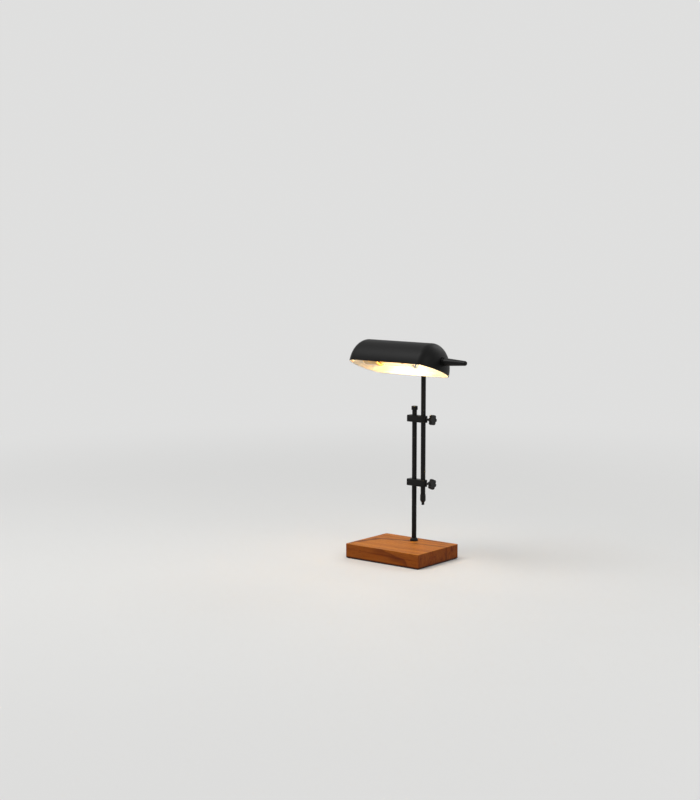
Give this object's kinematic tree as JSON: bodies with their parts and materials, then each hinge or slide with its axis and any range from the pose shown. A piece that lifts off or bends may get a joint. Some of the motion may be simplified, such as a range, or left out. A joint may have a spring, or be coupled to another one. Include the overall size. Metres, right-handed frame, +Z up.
{
  "type": "bankers lamp",
  "caption": "Bankers lamp: a long domed metal shade tilts on a post that slides through clamp bars beside a fixed post, on a rectangular wooden base.",
  "frame": {"origin": "middle of the pad's underside, on the surface that the lamp stands on", "axes": "+Z up; +X along the base's long side towards the knobs and the shade's handle; -Y to the front, where the shade's opening looks"},
  "size_m": [0.2792, 0.1623, 0.4558],
  "materials": {
    "oiled_wood": "oiled, satin",
    "pad": "matte",
    "raw_steel": "plated",
    "black_metal": "satin black",
    "black_screws": "black oxide",
    "black_plastic": "semi-gloss",
    "black_rubber": "matte",
    "white_nylon": "satin",
    "white_ceramic": "glazed",
    "brass": "plain",
    "clear_glass": "clear",
    "black_glass": "glossy",
    "filament": "glowing",
    "wire": "bright"
  },
  "bodies": {
    "stand": {"base_block": "oiled_wood", "base_pad": "pad", "ballast_plate": "raw_steel", "ballast_screws": "raw_steel", "stand_post": "black_metal", "stud_washer": "raw_steel", "stud_nut": "raw_steel", "post_collar": "black_metal", "post_cap": "black_metal", "lower_clamp_bar": "black_metal", "upper_clamp_bar": "black_metal", "lower_grub_screw": "black_screws", "upper_grub_screw": "black_screws"},
    "lower_knob": {"lower_clamp_screw": "black_screws", "lower_clamp_knob": "black_plastic"},
    "upper_knob": {"upper_clamp_screw": "black_screws", "upper_clamp_knob": "black_plastic"},
    "sliding_post": {"sliding_post": "black_metal", "cord_end_cap": "black_plastic"},
    "knuckle": {"knuckle_base": "black_metal", "swivel_retainer": "black_screws"},
    "shade": {"knuckle_arm": "black_metal", "arm_seat_washer": "black_rubber", "arm_inner_washer": "white_nylon", "arm_nut": "raw_steel", "knuckle_pin": "black_screws", "knuckle_washers": "black_screws", "shade_shell": "black_metal", "lead_grommet": "black_rubber", "shade_handle": "black_metal", "handle_collar": "black_metal", "handle_washer": "white_nylon", "handle_screw": "raw_steel", "holder_nipple": "black_screws", "holder_outer_washer": "black_rubber", "holder_inner_washer": "white_nylon", "holder_cap_nut": "black_metal", "holder_shell": "white_ceramic", "holder_insulator": "white_ceramic", "holder_sleeve": "brass", "holder_contact": "brass", "bulb_contact": "brass", "bulb_base_glass": "black_glass", "bulb_cap": "brass", "bulb_glass": "clear_glass", "bulb_stem": "clear_glass", "bulb_filaments": "filament", "bulb_mast": "wire", "bulb_wires": "wire"},
    "thumb_nut": {"knuckle_thumb_nut": "black_metal"}
  },
  "joints": [
    {"name": "post_height", "type": "slide", "parent": "stand", "child": "sliding_post", "axis": [0, 0, 1], "range_m": [-0.045, 0.015]},
    {"name": "shade_swivel", "type": "hinge", "parent": "sliding_post", "child": "knuckle", "pos_m": [0.0225, 0.0425, 0.39], "axis": [0, 0, 1], "range_deg": [-90, 90]},
    {"name": "shade_tilt", "type": "hinge", "parent": "knuckle", "child": "shade", "pos_m": [0.0225, 0.0425, 0.409], "axis": [1, 0, 0], "range_deg": [-40, 35]},
    {"name": "lower_knob_turn", "type": "hinge", "parent": "stand", "child": "lower_knob", "pos_m": [0.044, 0.0425, 0.1545], "axis": [1, 0, 0], "range_deg": [0, 360]},
    {"name": "upper_knob_turn", "type": "hinge", "parent": "stand", "child": "upper_knob", "pos_m": [0.044, 0.0425, 0.2885], "axis": [1, 0, 0], "range_deg": [0, 360]},
    {"name": "thumb_nut_turn", "type": "hinge", "parent": "shade", "child": "thumb_nut", "pos_m": [0.0345, 0.0425, 0.409], "axis": [1, 0, 0], "range_deg": [0, 360]}
  ]
}
